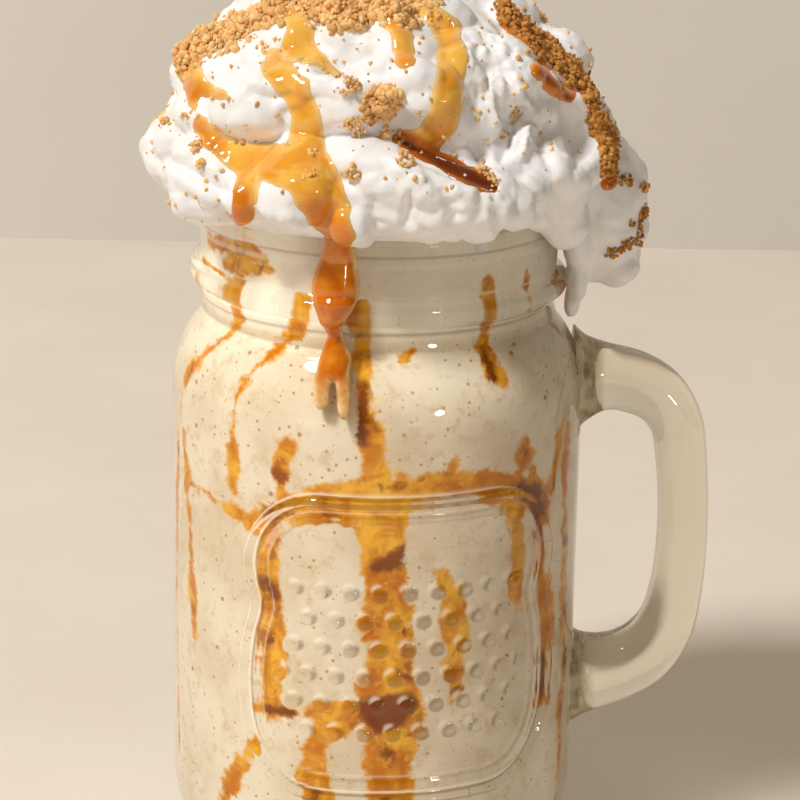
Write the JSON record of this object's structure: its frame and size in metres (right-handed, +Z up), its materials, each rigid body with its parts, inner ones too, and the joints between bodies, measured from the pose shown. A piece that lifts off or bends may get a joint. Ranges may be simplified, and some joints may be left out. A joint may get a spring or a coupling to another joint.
{
  "type": "milkshake in a handled glass jar",
  "caption": "Milkshake in a clear handled drinking jar, topped with a mound of whipped cream, caramel sauce and biscuit crumb.",
  "frame": {"origin": "centre of the jar's base, on the jar's axis, on the surface it stands on", "axes": "+Z up along the jar's axis, +X towards the handle, -Y the front of the jar"},
  "size_m": [0.1078, 0.0858, 0.18],
  "materials": {
    "clear_glass": "clear pressed glass, polished",
    "drink": "thick pale beige drink with fine brown specks and caramel streaks",
    "cream": "soft whipped cream, near white",
    "caramel": "glossy amber-brown sauce",
    "crumb": "golden-brown biscuit crumb"
  },
  "bodies": {
    "root": {"glass_jar": "clear_glass", "milkshake": "drink", "whipped_cream": "cream", "caramel_run": "caramel", "crumb_heap_left": "crumb", "crumb_heap_top": "crumb", "crumb_ridge_high": "crumb", "crumb_ridge_low": "crumb", "crumb_clump_front": "crumb"}
  },
  "joints": []
}
